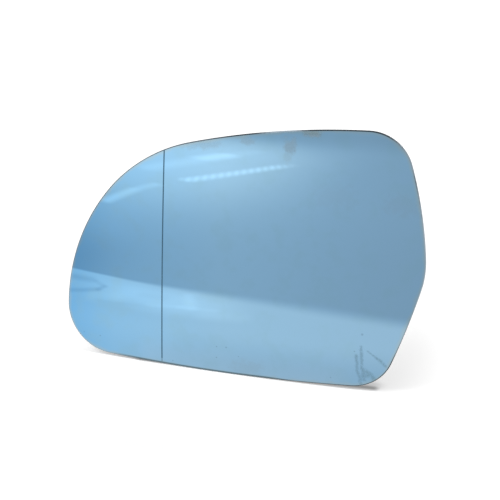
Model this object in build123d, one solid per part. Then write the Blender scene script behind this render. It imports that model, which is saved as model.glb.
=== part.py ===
from build123d import *
import math
import os

# Left-hand car door mirror glass with its heated back plate.
# Millimetres, +Z up, the mirror looks towards -Y, +X is inboard (to the right seen from the front).
# The origin is on the axis of the round snap socket, in the plane of its snap lands.

# Glass outline, clockwise seen from the front: the points where two sides would meet sharp,
# the round at each corner, and the crown radius of each side
LOWER_INBOARD_X = 69.0
LOWER_INBOARD_Z = -58.5
LOWER_INBOARD_ROUND = 22.0
BOTTOM_CROWN = 1255.0
LOWER_OUTBOARD_X = -96.5
LOWER_OUTBOARD_Z = -58.5
LOWER_OUTBOARD_ROUND = 24.0
OUTBOARD_CROWN = 110.0
SHOULDER_X = -50.0
SHOULDER_Z = 52.5
SHOULDER_ROUND = 83.0
TOP_CROWN = 375.0
TOP_INBOARD_X = 72.5
TOP_INBOARD_Z = 72.0
TOP_INBOARD_ROUND = 22.0
UPPER_INBOARD_CROWN = 210.0
INBOARD_X = 88.5
INBOARD_Z = 2.5
INBOARD_ROUND = 47.0
LOWER_INBOARD_CROWN = 400.0

# Mirror surface: a sphere, and outboard of the dividing line a cubic fall-away behind it
MAIN_RADIUS = 1260.0
DIVIDING_LINE_X = -45.0
FALL_WIDTH = 53.0
FALL_DROP = 1.65
FRONT_TO_SOCKET = 14.8
FALL_STATIONS = (0.0, 0.25, 0.5, 0.75, 1.0)

# Glass
GLASS_THICKNESS = 2.0
ARRIS = 0.35
LINE_WIDTH = 0.65
LINE_DEPTH = 0.08
LINE_STOP = 3.0

# Heating foil, self-adhesive on both faces
FOIL_THICKNESS = 0.4
FOIL_INSET = 8.0
FOIL_POCKET_CLEARANCE = 0.3

# Moulded back plate
PLATE_INSET = 3.0
PLATE_THICKNESS = 1.8
RIM_WIDTH = 1.6
RIM_RISE = 2.8
RIB_WIDTH = 1.2
RIB_RISE = 2.4
RIBS_PER_FINGER = 3
RING_RIB_RADIUS = 50.0

# Snap socket for the mirror's actuator
SOCKET_RADIUS = 29.6
SOCKET_WALL_RADIUS = 31.0
SOCKET_WALL = 2.0
SOCKET_MOUTH_Y = 3.2
SOCKET_OPENING_RADIUS = 27.0
LAND_LENGTH = 3.0
FINGER_COUNT = 6
FINGER_ANGLE = 24.0
FINGER_SLOT = 1.6
FINGER_ROOT_RISE = 2.0
GUSSET_REACH = 11.0
GUSSET_DROP = 3.0

# Heater terminals: one blade each side of the middle, under the socket
TERMINAL_X = 11.0
TERMINAL_Z = -39.8
WINDOW_WIDTH = 11.0
WINDOW_HEIGHT = 9.0
FOOT_WIDTH = 8.0
FOOT_HEIGHT = 6.4
TERMINAL_THICKNESS = 0.8
BLADE_WIDTH = 6.3
BLADE_TIP_Y = -1.0
BLADE_TIP_CHAMFER = 1.0
BLADE_HOLE_RADIUS = 0.8
BLADE_HOLE_FROM_TIP = 3.2
RIVET_RADIUS = 0.9
RIVET_HEAD_RADIUS = 1.8
RIVET_HEAD_RISE = 0.6

# Room that a cutting solid has beyond what it cuts, a curved sheet beyond the outline,
# and a prism beyond both faces of the part
MARGIN = 5.0
SHEET_MARGIN = 15.0
PRISM_MARGIN = 20.0

# A face with less than the first share of Y in its normal belongs to the ground edge of the glass,
# and an edge with more than the second share of Y in its direction runs through the thickness
EDGE_FACE_SHARE = 0.5
THROUGH_EDGE_SHARE = 0.9

# Depths below the mirror surface where one layer ends and the next begins
GLASS_BACK = GLASS_THICKNESS
FOIL_BACK = GLASS_BACK + FOIL_THICKNESS
PLATE_BACK = FOIL_BACK + PLATE_THICKNESS
RIB_BACK = PLATE_BACK + RIB_RISE
RIM_BACK = PLATE_BACK + RIM_RISE
FOOT_BACK = FOIL_BACK + TERMINAL_THICKNESS

FRONT_VERTEX_Y = -FRONT_TO_SOCKET
SPHERE_CENTRE_Y = FRONT_VERTEX_Y + MAIN_RADIUS
SOCKET_ROOT_Y = FRONT_VERTEX_Y + (FOIL_BACK + PLATE_BACK) / 2
SOCKET_OUTER_RADIUS = SOCKET_WALL_RADIUS + SOCKET_WALL
RIB_COUNT = RIBS_PER_FINGER * FINGER_COUNT
SIDES = (1, -1)

OUTLINE = [
    (Vector(LOWER_INBOARD_X, LOWER_INBOARD_Z), LOWER_INBOARD_ROUND, BOTTOM_CROWN),
    (Vector(LOWER_OUTBOARD_X, LOWER_OUTBOARD_Z), LOWER_OUTBOARD_ROUND, OUTBOARD_CROWN),
    (Vector(SHOULDER_X, SHOULDER_Z), SHOULDER_ROUND, TOP_CROWN),
    (Vector(TOP_INBOARD_X, TOP_INBOARD_Z), TOP_INBOARD_ROUND, UPPER_INBOARD_CROWN),
    (Vector(INBOARD_X, INBOARD_Z), INBOARD_ROUND, LOWER_INBOARD_CROWN),
]
POINTS = [corner[0] for corner in OUTLINE]
REACH_X = max(abs(point.X) for point in POINTS) + SHEET_MARGIN
REACH_Z = max(abs(point.Y) for point in POINTS) + SHEET_MARGIN


def crown_centre(start, end, radius):
    """Centre of a crowned side, inward of its chord on a clockwise outline."""
    chord = end - start
    inward = Vector(chord.Y, -chord.X).normalized()
    return (start + end) / 2 + inward * math.sqrt(radius**2 - (chord.length / 2) ** 2)


def round_centre(first, first_radius, second, second_radius, corner):
    """The point at these two distances from two crown centres that lies nearer to the corner."""
    between = second - first
    along = between.normalized()
    run = (first_radius**2 - second_radius**2 + between.length**2) / (2 * between.length)
    rise = math.sqrt(first_radius**2 - run**2)
    across = Vector(-along.Y, along.X)
    candidates = [first + along * run + across * rise * side for side in (1, -1)]
    return min(candidates, key=lambda point: (point - corner).length)


def arc_about(centre, radius, start_towards, end_towards):
    """Arc from the direction of one point to that of another, the short way round."""
    start = (start_towards - centre).normalized()
    end = (end_towards - centre).normalized()
    middle = (start + end).normalized()
    return ThreePointArc(centre + start * radius, centre + middle * radius, centre + end * radius)


def outline_face(inset):
    """The glass outline moved inward by the inset, as a face in the XZ plane."""
    count = len(OUTLINE)
    crowns = []
    for index, (corner, _, radius) in enumerate(OUTLINE):
        following = OUTLINE[(index + 1) % count][0]
        crowns.append((crown_centre(corner, following, radius), radius))
    rounds = []
    for index, (corner, corner_round, _) in enumerate(OUTLINE):
        before, before_radius = crowns[index - 1]
        after, after_radius = crowns[index]
        centre = round_centre(
            before, before_radius - corner_round, after, after_radius - corner_round, corner
        )
        rounds.append((centre, corner_round))
    arcs = []
    for index in range(count):
        centre, corner_round = rounds[index]
        before, _ = crowns[index - 1]
        after, after_radius = crowns[index]
        towards_before = centre * 2 - before
        towards_after = centre * 2 - after
        arcs.append(arc_about(centre, corner_round - inset, towards_before, towards_after))
        next_centre, _ = rounds[(index + 1) % count]
        arcs.append(arc_about(after, after_radius - inset, centre, next_centre))
    return Plane.XZ * make_face(arcs)


def prism(inset):
    """The outline, inset, carried through the whole depth."""
    return extrude(outline_face(inset), FRONT_TO_SOCKET + PRISM_MARGIN, both=True)


def surface_slope(x):
    """Slope dy/dx of the mirror's middle section."""
    fall = max(DIVIDING_LINE_X - x, 0.0) / FALL_WIDTH
    return x / math.sqrt(MAIN_RADIUS**2 - x**2) - 3 * FALL_DROP / FALL_WIDTH * fall**2


def surface_point(x, depth):
    """Point of the mirror's middle section at this depth below its surface."""
    fall = max(DIVIDING_LINE_X - x, 0.0) / FALL_WIDTH
    y = SPHERE_CENTRE_Y - math.sqrt(MAIN_RADIUS**2 - x**2) + FALL_DROP * fall**3
    normal = Vector(-surface_slope(x), 1.0).normalized()
    return Vector(x, y) + normal * depth


def section_curves(depth):
    """The spherical arc and the fall-away curve of the middle section at one depth."""
    sphere_middle = (REACH_X + DIVIDING_LINE_X) / 2
    sphere = ThreePointArc(
        surface_point(REACH_X, depth),
        surface_point(sphere_middle, depth),
        surface_point(DIVIDING_LINE_X, depth),
    )
    fall_width = REACH_X + DIVIDING_LINE_X
    stations = [DIVIDING_LINE_X - fall_width * share for share in FALL_STATIONS]
    fall_away = Spline(
        [surface_point(x, depth) for x in stations],
        tangents=[Vector(-1.0, -surface_slope(x)) for x in (stations[0], stations[-1])],
    )
    return sphere, fall_away


def layer(front_depth, back_depth, outline):
    """A curved sheet between two depths below the mirror surface, trimmed to an outline solid."""
    front_sphere, front_fall = section_curves(front_depth)
    back_sphere, back_fall = section_curves(back_depth)
    section = make_face(
        [
            front_sphere,
            front_fall,
            Line(front_fall @ 1, back_fall @ 1),
            back_fall,
            back_sphere,
            Line(back_sphere @ 0, front_sphere @ 0),
        ]
    )
    axis = Axis((0, SPHERE_CENTRE_Y, 0), (1, 0, 0))
    half_turn = math.degrees(math.asin(REACH_Z / MAIN_RADIUS))
    return revolve(section.rotate(axis, -half_turn), axis, 2 * half_turn) & outline


def along_y(shape, y_from, y_to):
    """A flat shape in the XZ plane carried from one depth to another."""
    return extrude(Plane.XZ.offset(-y_to) * shape, y_to - y_from)


def around_socket(solid, angle):
    """A piece built on the +X side of the socket axis, turned about that axis."""
    return solid.rotate(Axis.Y, angle)


def mirror_glass():
    """Bent glass with ground edges and the dividing line cut into its coated front."""
    glass = layer(0, GLASS_BACK, prism(0))
    sides = [face for face in glass.faces() if abs(face.normal_at().Y) < EDGE_FACE_SHARE]
    rims = [edge for side in sides for edge in side.edges() if abs((edge % 0.5).Y) < THROUGH_EDGE_SHARE]
    glass = chamfer(rims, ARRIS)
    strip = Pos(DIVIDING_LINE_X, 0, REACH_Z / 2) * Box(LINE_WIDTH, 4 * FRONT_TO_SOCKET, REACH_Z)
    lower_strip = (Pos(0, 0, -REACH_Z) * strip) & prism(LINE_STOP)
    return glass - layer(-MARGIN, LINE_DEPTH, strip + lower_strip)


def rivet_body(radius, front_depth, back_depth, side):
    """A round of the terminal's rivet between two depths."""
    place = Pos(side * TERMINAL_X, TERMINAL_Z + TERMINAL_THICKNESS / 2)
    return layer(front_depth, back_depth, extrude(Plane.XZ * place * Circle(radius), REACH_X, both=True))


def heating_foil():
    """Printed heater between glass and back plate, pierced for the two rivets."""
    foil = layer(GLASS_BACK, FOIL_BACK, prism(FOIL_INSET))
    for side in SIDES:
        foil -= rivet_body(RIVET_RADIUS, GLASS_BACK, FOIL_BACK, side)
    return foil


def rib_pattern():
    """Radial ribs and one round rib; the ribs midway between two fingers start at the socket wall."""
    ring_rib = Circle(RING_RIB_RADIUS + RIB_WIDTH) - Circle(RING_RIB_RADIUS)
    pattern = ring_rib
    for index in range(RIB_COUNT):
        start = RING_RIB_RADIUS if index % RIBS_PER_FINGER else SOCKET_OUTER_RADIUS - SOCKET_WALL / 2
        bar = Pos((start + REACH_X) / 2, 0) * Rectangle(REACH_X - start, RIB_WIDTH)
        pattern += Rot(0, 0, 180 / FINGER_COUNT + index * 360 / RIB_COUNT) * bar
    return extrude(Plane.XZ * pattern, REACH_X, both=True)


def socket_finger():
    """Snap land on the inside of the socket wall, with a lead-in towards the mouth."""
    step = SOCKET_WALL_RADIUS - SOCKET_RADIUS
    root = SOCKET_WALL_RADIUS + SOCKET_WALL / 2
    section = make_face(
        Polyline(
            (root, -LAND_LENGTH / 2 - step),
            (SOCKET_WALL_RADIUS, -LAND_LENGTH / 2 - step),
            (SOCKET_RADIUS, -LAND_LENGTH / 2),
            (SOCKET_RADIUS, LAND_LENGTH / 2),
            (SOCKET_WALL_RADIUS, LAND_LENGTH / 2 + step),
            (root, LAND_LENGTH / 2 + step),
            close=True,
        )
    )
    return around_socket(revolve(section, Axis.Y, FINGER_ANGLE), -FINGER_ANGLE / 2)


def socket_gusset():
    """Three-cornered web that props the socket wall on a radial rib."""
    start = SOCKET_OUTER_RADIUS - SOCKET_WALL / 2
    end = SOCKET_OUTER_RADIUS + GUSSET_REACH
    side = make_face(
        Polyline(
            (start, SOCKET_ROOT_Y),
            (end, SOCKET_ROOT_Y),
            (end, FRONT_VERTEX_Y + RIB_BACK),
            (start, SOCKET_MOUTH_Y - GUSSET_DROP),
            close=True,
        )
    )
    return extrude(side, RIB_WIDTH / 2, both=True)


def finger_slots():
    """The two slots that free one finger of the socket wall."""
    floor = FRONT_VERTEX_Y + PLATE_BACK + FINGER_ROOT_RISE
    height = SOCKET_MOUTH_Y + MARGIN - floor
    slot = Pos(SOCKET_OUTER_RADIUS, floor + height / 2, 0) * Box(2 * MARGIN, height, FINGER_SLOT)
    half_slot = math.degrees(math.asin(FINGER_SLOT / 2 / SOCKET_WALL_RADIUS))
    turn = FINGER_ANGLE / 2 + half_slot
    return around_socket(slot, turn) + around_socket(slot, -turn)


def back_plate():
    """Moulded plate with its rim, ribs and snap socket."""
    edge = prism(PLATE_INSET)
    pocket = layer(GLASS_BACK - MARGIN, FOIL_BACK, prism(FOIL_INSET - FOIL_POCKET_CLEARANCE))
    rim = layer(FOIL_BACK, RIM_BACK, edge - prism(PLATE_INSET + RIM_WIDTH))
    ribs = layer(FOIL_BACK, RIB_BACK, edge & rib_pattern())
    wall = along_y(Circle(SOCKET_OUTER_RADIUS) - Circle(SOCKET_WALL_RADIUS), SOCKET_ROOT_Y, SOCKET_MOUTH_Y)
    plate = layer(GLASS_BACK, PLATE_BACK, edge) - pocket + rim + ribs + wall
    for index in range(FINGER_COUNT):
        finger_turn = index * 360 / FINGER_COUNT
        plate += around_socket(socket_gusset(), finger_turn + 180 / FINGER_COUNT)
        plate += around_socket(socket_finger(), finger_turn)
        plate -= around_socket(finger_slots(), finger_turn)
    plate -= along_y(Circle(SOCKET_OPENING_RADIUS), FRONT_VERTEX_Y, FRONT_VERTEX_Y + PLATE_BACK + MARGIN)
    for side in SIDES:
        plate -= Pos(side * TERMINAL_X, 0, TERMINAL_Z) * Box(WINDOW_WIDTH, 2 * FRONT_TO_SOCKET, WINDOW_HEIGHT)
    return plate


def heater_terminal(side):
    """Angled tab: a foot riveted to the foil and a blade that stands out for the connector."""
    foot_area = Pos(side * TERMINAL_X, TERMINAL_Z) * Rectangle(FOOT_WIDTH, FOOT_HEIGHT)
    foot = layer(FOIL_BACK, FOOT_BACK, extrude(Plane.XZ * foot_area, REACH_X, both=True))
    shoulder_y = BLADE_TIP_Y - BLADE_TIP_CHAMFER
    half = BLADE_WIDTH / 2
    outline = make_face(
        Polyline(
            (-half, FRONT_VERTEX_Y),
            (half, FRONT_VERTEX_Y),
            (half, shoulder_y),
            (half - BLADE_TIP_CHAMFER, BLADE_TIP_Y),
            (BLADE_TIP_CHAMFER - half, BLADE_TIP_Y),
            (-half, shoulder_y),
            close=True,
        )
    )
    outline -= Pos(0, BLADE_TIP_Y - BLADE_HOLE_FROM_TIP) * Circle(BLADE_HOLE_RADIUS)
    blade = Pos(side * TERMINAL_X, 0, TERMINAL_Z - FOOT_HEIGHT / 2) * extrude(outline, TERMINAL_THICKNESS)
    blade -= layer(-MARGIN, FOIL_BACK, prism(0))
    return foot + blade - rivet_body(RIVET_RADIUS, FOIL_BACK, FOOT_BACK, side)


def terminal_rivets():
    """One rivet through each terminal's foot and the foil."""
    rivets = []
    for side in SIDES:
        shank = rivet_body(RIVET_RADIUS, GLASS_BACK, FOOT_BACK, side)
        rivets.append(shank + rivet_body(RIVET_HEAD_RADIUS, FOOT_BACK, FOOT_BACK + RIVET_HEAD_RISE, side))
    return Compound(children=rivets)


PIECES = {
    "mirror_glass": mirror_glass(),
    "heating_foil": heating_foil(),
    "back_plate": back_plate(),
    "heater_terminal_inboard": heater_terminal(1),
    "heater_terminal_outboard": heater_terminal(-1),
    "terminal_rivets": terminal_rivets(),
}
os.makedirs("parts", exist_ok=True)
for name, piece in PIECES.items():
    export_step(piece, f"parts/{name}.step")
    size = piece.bounding_box().size
    print(f"{name}: {size.X:.1f} x {size.Y:.1f} x {size.Z:.1f} mm, {piece.volume / 1000:.2f} cm3")
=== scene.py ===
# %% [markdown]
# A car door mirror glass is a bent, blue-coated pane, bonded with its heating foil to a black moulded plate.
# The frame already holds every piece at its real size, so this lesson only gives the pieces their looks.
# We load the frame first and keep its box: what we model later must stay inside it.

# %% Load the frame
import math

import bmesh
import bpy
from mathutils import Matrix, Vector


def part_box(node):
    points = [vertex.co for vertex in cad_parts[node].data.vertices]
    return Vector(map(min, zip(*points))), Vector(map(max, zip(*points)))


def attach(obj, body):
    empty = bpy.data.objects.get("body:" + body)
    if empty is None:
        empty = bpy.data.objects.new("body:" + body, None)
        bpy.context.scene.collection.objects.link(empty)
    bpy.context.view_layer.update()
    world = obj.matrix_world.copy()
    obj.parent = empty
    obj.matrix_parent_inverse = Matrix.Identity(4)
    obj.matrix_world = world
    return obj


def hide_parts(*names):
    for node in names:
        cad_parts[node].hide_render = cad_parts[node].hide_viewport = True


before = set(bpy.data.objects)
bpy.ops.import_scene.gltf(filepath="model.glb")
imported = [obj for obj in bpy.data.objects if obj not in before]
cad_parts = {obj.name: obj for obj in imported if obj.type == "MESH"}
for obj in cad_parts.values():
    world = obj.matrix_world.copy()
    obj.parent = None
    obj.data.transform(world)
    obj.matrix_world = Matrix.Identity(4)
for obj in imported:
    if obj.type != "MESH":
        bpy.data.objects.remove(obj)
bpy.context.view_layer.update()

# Lengths are written in millimetres, and this turns them into the metres of the scene
MM = 0.001
print("nodes:", ", ".join(sorted(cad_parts)))

# %% [markdown]
# Node trees are easier to read as sums than as long lists of links.
# A Wire stands for one output of a node, and each plus, minus or times written with it adds one Math node.
# The same helper serves Geometry Nodes and materials, because both use the same Math node.


# %% Sums that become nodes
def feed(socket, value):
    """Links a wire to an input, or sets the input to a plain value."""
    if isinstance(value, Wire):
        socket.id_data.links.new(value.socket, socket)
    else:
        socket.default_value = value


def set_inputs(node, inputs):
    """Feeds several inputs of a node, given by name or number."""
    for name, value in inputs.items():
        feed(node.inputs[name], value)


def add_node(tree, kind, inputs=None, **settings):
    """A new node with its settings and inputs."""
    node = tree.nodes.new(kind)
    for name, value in settings.items():
        setattr(node, name, value)
    set_inputs(node, inputs or {})
    return node


def results(tree, kind, inputs=None, **settings):
    """All outputs of a new node, as wires."""
    return [Wire(output) for output in add_node(tree, kind, inputs, **settings).outputs]


def result(tree, kind, inputs=None, output=0, **settings):
    """One output of a new node, as a wire."""
    return Wire(add_node(tree, kind, inputs, **settings).outputs[output])


def math_node(operation, swapped=False):
    """A method of a wire that adds one Math node, with its two numbers swapped if asked."""

    def method(self, other=0):
        values = (other, self) if swapped else (self, other)
        return result(self.tree, "ShaderNodeMath", dict(enumerate(values)), operation=operation)

    return method


class Wire:
    """One output of a node, which can be used in sums."""

    def __init__(self, socket):
        self.socket = socket
        self.tree = socket.id_data

    __add__ = math_node("ADD")
    __radd__ = __add__
    __sub__ = math_node("SUBTRACT")
    __rsub__ = math_node("SUBTRACT", swapped=True)
    __mul__ = math_node("MULTIPLY")
    __rmul__ = __mul__
    __truediv__ = math_node("DIVIDE")
    __rtruediv__ = math_node("DIVIDE", swapped=True)
    __mod__ = math_node("MODULO")
    root = math_node("SQRT")
    sine = math_node("SINE")
    at_least = math_node("MAXIMUM")
    at_most = math_node("MINIMUM")
    above = math_node("GREATER_THAN")
    below = math_node("LESS_THAN")

    def limited(self):
        return self.at_least(0).at_most(1)

    def ramp(self, zero_at, one_at):
        """Goes smoothly from 0 to 1 between two values, which may be in either order."""
        inputs = {"Value": self, "From Min": zero_at, "From Max": one_at}
        return result(self.tree, "ShaderNodeMapRange", inputs, interpolation_type="SMOOTHSTEP")


def parts_of(vector):
    """The three numbers of a vector."""
    return results(vector.tree, "ShaderNodeSeparateXYZ", {0: vector})


def as_vector(x, y, z):
    """Three numbers as one vector."""
    return result(x.tree, "ShaderNodeCombineXYZ", {0: x, 1: y, 2: z})


def distance(first, second):
    """Length of a two-number step."""
    return (first * first + second * second).root()


# %% [markdown]
# The outline of the glass is ten arcs: five crowned sides and a round at each of the five corners.
# We find the ten arc centres by plain circle geometry and draw the arcs as one closed Bezier spline.
# A Bezier point only where two arcs meet keeps the curve exact, smooth and short.

# %% The ten arcs of the outline
# Where two sides would meet sharp, clockwise from the front: x, z, corner round, crown of the next side
CORNERS = {
    "lower inboard": (69, -58.5, 22, 1255),
    "lower outboard": (-96.5, -58.5, 24, 110),
    "shoulder": (-50, 52.5, 83, 375),
    "top inboard": (72.5, 72, 22, 210),
    "inboard": (88.5, 2.5, 47, 400),
}


def crown_centre(start, end, radius):
    """Centre of a crowned side, inward of its chord."""
    chord = end - start
    inward = Vector((chord.y, -chord.x)).normalized()
    return (start + end) / 2 + inward * math.sqrt(radius**2 - (chord.length / 2) ** 2)


def round_centre(first, first_reach, second, second_reach, corner):
    """The point at two given distances from two crown centres that lies nearer to the corner."""
    between = second - first
    along = between.normalized()
    run = (first_reach**2 - second_reach**2 + between.length**2) / (2 * between.length)
    rise = math.sqrt(first_reach**2 - run**2)
    across = Vector((-along.y, along.x))
    choices = [first + along * run + across * rise * side for side in (1, -1)]
    return min(choices, key=lambda point: (point - corner).length)


def outline_arcs():
    """Centre, radius, start direction and end direction of each arc, in order."""
    corners = [Vector(values[:2]) for values in CORNERS.values()]
    rounds = [values[2] for values in CORNERS.values()]
    crowns = [values[3] for values in CORNERS.values()]
    count = len(corners)
    sides = [crown_centre(corners[i], corners[(i + 1) % count], crowns[i]) for i in range(count)]
    centres = []
    for i, corner in enumerate(corners):
        reach_before = crowns[i - 1] - rounds[i]
        reach_after = crowns[i] - rounds[i]
        centres.append(round_centre(sides[i - 1], reach_before, sides[i], reach_after, corner))
    arcs = []
    for i in range(count):
        start = (centres[i] - sides[i - 1]).normalized()
        middle = (centres[i] - sides[i]).normalized()
        end = (centres[(i + 1) % count] - sides[i]).normalized()
        arcs.append((centres[i], rounds[i], start, middle))
        arcs.append((sides[i], crowns[i], middle, end))
    return arcs


# %% The outline as a Bezier curve
CURVE_STEPS = 48


def new_object(name, data):
    """A new object for a curve, mesh, camera or lamp, at the origin."""
    made = bpy.data.objects.new(name, data)
    bpy.context.scene.collection.objects.link(made)
    return made


def handle_length(arc):
    """How far a Bezier handle reaches to follow an arc."""
    _, radius, start, end = arc
    return 4 / 3 * math.tan(start.angle(end) / 4) * radius


def outline_curve(arcs):
    """The arcs as one closed spline in the XZ plane, in metres."""
    curve = bpy.data.curves.new("glass_outline", "CURVE")
    curve.dimensions = "3D"
    spline = curve.splines.new("BEZIER")
    spline.bezier_points.add(len(arcs) - 1)
    spline.use_cyclic_u = True
    spline.resolution_u = CURVE_STEPS
    for index, arc in enumerate(arcs):
        centre, radius, start, _ = arc
        place = centre + start * radius
        onward = Vector((start.y, -start.x))
        before = place - onward * handle_length(arcs[index - 1])
        after = place + onward * handle_length(arc)
        point = spline.bezier_points[index]
        point.handle_left_type = "FREE"
        point.handle_right_type = "FREE"
        for name, spot in (("co", place), ("handle_left", before), ("handle_right", after)):
            setattr(point, name, Vector((spot.x, 0, spot.y)) * MM)
    return new_object("glass_outline", curve)


ARCS = outline_arcs()
glass_outline = outline_curve(ARCS)
print("outline arcs:", len(ARCS), "bezier points:", len(glass_outline.data.splines[0].bezier_points))

# %% [markdown]
# The pane is bent to a sphere of 1260 mm, and outboard of the dividing line it falls away as a cubic.
# Every layer of the part follows this rule, so the rule gets a node group of its own.
# It takes a place on the outline's plane and a depth below the mirror, and gives the point and the normal.
# The sag is written as x squared over a sum, because a difference of two large numbers would lose its digits.

# %% The mirror's surface as a node group
MAIN_RADIUS = 1260
LINE_X = -45
FALL_WIDTH = 53
FALL_DROP = 1.65
FRONT_VERTEX_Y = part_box("mirror_glass")[0].y / MM
SURFACE_SIZES = {
    "Main radius": MAIN_RADIUS * MM,
    "Fall starts at": LINE_X * MM,
    "Fall width": FALL_WIDTH * MM,
    "Fall drop": FALL_DROP * MM,
    "Front vertex": FRONT_VERTEX_Y * MM,
}


def new_group(name, inputs, outputs, kind="GeometryNodeTree"):
    """A new node group, its incoming wires by name, and its output node; sockets are listed by their kind."""
    group = bpy.data.node_groups.new(name, kind)
    for side, kinds in (("INPUT", inputs), ("OUTPUT", outputs)):
        for socket_kind, names in kinds.items():
            for socket_name in names:
                group.interface.new_socket(socket_name, in_out=side, socket_type="NodeSocket" + socket_kind)
    start = add_node(group, "NodeGroupInput")
    wires = {output.name: Wire(output) for output in start.outputs}
    return group, wires, add_node(group, "NodeGroupOutput")


def mirror_surface_group():
    """Point and outward normal of the mirror's surface, or of a layer below it, in metres."""
    inputs = {"Float": ["X", "Z", "Depth", *SURFACE_SIZES]}
    group, wires, end = new_group("mirror surface", inputs, {"Vector": ["Point", "Normal"]})
    x = wires["X"]
    z = wires["Z"]
    radius = wires["Main radius"]
    drop = wires["Fall drop"]
    fall = (wires["Fall starts at"] - x).at_least(0) / wires["Fall width"]
    level = (radius * radius - x * x).root()
    sag = x * x / (radius + level) + drop * fall * fall * fall
    slope = x / level - 3 * drop / wires["Fall width"] * fall * fall
    turn = radius - sag
    upright = (turn * turn - z * z).root()
    slope_x = turn * slope / upright
    slope_z = z / upright
    stretch = (1 + slope_x * slope_x + slope_z * slope_z).root()
    y = wires["Front vertex"] + sag + z * z / (turn + upright) + wires["Depth"] * stretch
    normal = as_vector(slope_x / stretch, -1 / stretch, slope_z / stretch)
    set_inputs(end, {"Point": as_vector(x, y, z), "Normal": normal})
    return group


mirror_surface = mirror_surface_group()
print("mirror surface group:", len(mirror_surface.nodes), "nodes")

# %% [markdown]
# A few helpers put points on that surface and move, join and paint meshes in a node tree.
# The last ones run a tree on a piece and keep its result as a plain mesh, which every other program can read.


# %% Helpers for meshes
def on_surface(x, z, depth):
    """Point and normal of the mirror surface at a place and depth."""
    inputs = {"X": x, "Z": z, "Depth": depth, **SURFACE_SIZES}
    return results(x.tree, "GeometryNodeGroup", inputs, node_tree=mirror_surface)


def own_place(tree):
    """The three numbers of each point's own position."""
    return parts_of(result(tree, "GeometryNodeInputPosition"))


def moved(mesh, point):
    """A mesh whose points go to new places."""
    return result(mesh.tree, "GeometryNodeSetPosition", {"Geometry": mesh, "Position": point})


def realized(mesh):
    """A mesh with its instances made real."""
    return result(mesh.tree, "GeometryNodeRealizeInstances", {0: mesh})


def finished(mesh, finish, chosen=True):
    """A mesh whose chosen faces get a finish."""
    inputs = {"Geometry": mesh, "Selection": chosen, "Material": finish}
    return result(mesh.tree, "GeometryNodeSetMaterial", inputs)


def joined(meshes, kind="GeometryNodeJoinGeometry", socket=0, **settings):
    """Several meshes as one, by a node that takes them all in one input."""
    node = add_node(meshes[0].tree, kind, **settings)
    for mesh in meshes:
        feed(node.inputs[socket], mesh)
    return Wire(node.outputs[0])


def unit_box(tree, points_x, points_z):
    """A box of size 1 with this many points along X and Z."""
    inputs = {"Size": (1, 1, 1), "Vertices X": points_x, "Vertices Y": 2, "Vertices Z": points_z}
    return result(tree, "GeometryNodeMeshCube", inputs)


def add_tree(piece, tree, inputs):
    """Gives a piece a Geometry Nodes tree and sets its named inputs, which are listed by their kind."""
    modifier = piece.modifiers.new(tree.name, "NODES")
    modifier.node_group = tree
    values = {name: value for named in inputs.values() for name, value in named.items()}
    for item in tree.interface.items_tree:
        if item.in_out == "INPUT" and item.name in values:
            modifier[item.identifier] = values[item.name]


def make_plain(piece):
    """Puts the result of a piece's modifiers in its mesh and removes them."""
    depsgraph = bpy.context.evaluated_depsgraph_get()
    mesh = bpy.data.meshes.new_from_object(piece.evaluated_get(depsgraph))
    piece.modifiers.clear()
    piece.data = mesh
    mesh.name = piece.name
    for index in reversed(range(len(mesh.materials))):
        if mesh.materials[index] is None:
            mesh.materials.pop(index=index)
    print(piece.name, len(mesh.polygons), "faces", [slot.name for slot in mesh.materials])
    return piece


def made_mesh(name, tree, inputs):
    """The result of a Geometry Nodes tree on an empty mesh, as a plain piece."""
    piece = new_object(name, bpy.data.meshes.new(name))
    add_tree(piece, tree, inputs)
    return make_plain(piece)


# %% [markdown]
# All finishes are built from nodes on Object coordinates, scaled so that one unit is a millimetre.
# Each is a look: a function that takes the position on the piece and gives the inputs of the shader.
# Most looks of the part are two close colours in soft clouds, so one function makes them all.


# %% Helpers for finishes
def new_finish(name, look):
    """A new material with a look."""
    finish = bpy.data.materials.new(name)
    finish.use_nodes = True
    tree = finish.node_tree
    place = result(tree, "ShaderNodeTexCoord", output="Object")
    position = result(tree, "ShaderNodeMapping", {"Vector": place, "Scale": (1 / MM, 1 / MM, 1 / MM)})
    set_inputs(tree.nodes["Principled BSDF"], look(position))
    print("finish:", name, len(tree.nodes), "nodes")
    return finish


def noise(position, size, detail=4, stretch=(1, 1, 1)):
    """Soft noise from 0 to 1 whose lumps are about this many millimetres wide."""
    stretched = result(position.tree, "ShaderNodeMapping", {"Vector": position, "Scale": stretch})
    inputs = {"Vector": stretched, "Scale": 1 / size, "Detail": detail}
    return result(position.tree, "ShaderNodeTexNoise", inputs)


def patchy(position, size, detail, zero_at, one_at):
    """Noise as soft patches, which come in between two of its values."""
    return noise(position, size, detail).ramp(zero_at, one_at)


def swing(position, size, detail, reach):
    """Noise that swings about 0, with this much from end to end."""
    return (noise(position, size, detail) - 0.5) * reach


def mix_colours(share, first, second):
    """First colour where the share is 0, second where it is 1."""
    return result(share.tree, "ShaderNodeMix", {0: share, 6: first, 7: second}, 2, data_type="RGBA")


def colour_ramp(share, stops):
    """Colours along a line: pairs of a place from 0 to 1 and a colour."""
    node = add_node(share.tree, "ShaderNodeValToRGB", {0: share})
    elements = node.color_ramp.elements
    while len(elements) < len(stops):
        elements.new(0.5)
    for element, (place, colour) in zip(elements, stops):
        element.position = place
        element.color = colour
    return Wire(node.outputs[0])


def bump(height, depth_mm):
    """The normal of a height from 0 to 1 that stands this many millimetres proud."""
    return result(height.tree, "ShaderNodeBump", {"Height": height, "Distance": depth_mm * MM})


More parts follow.
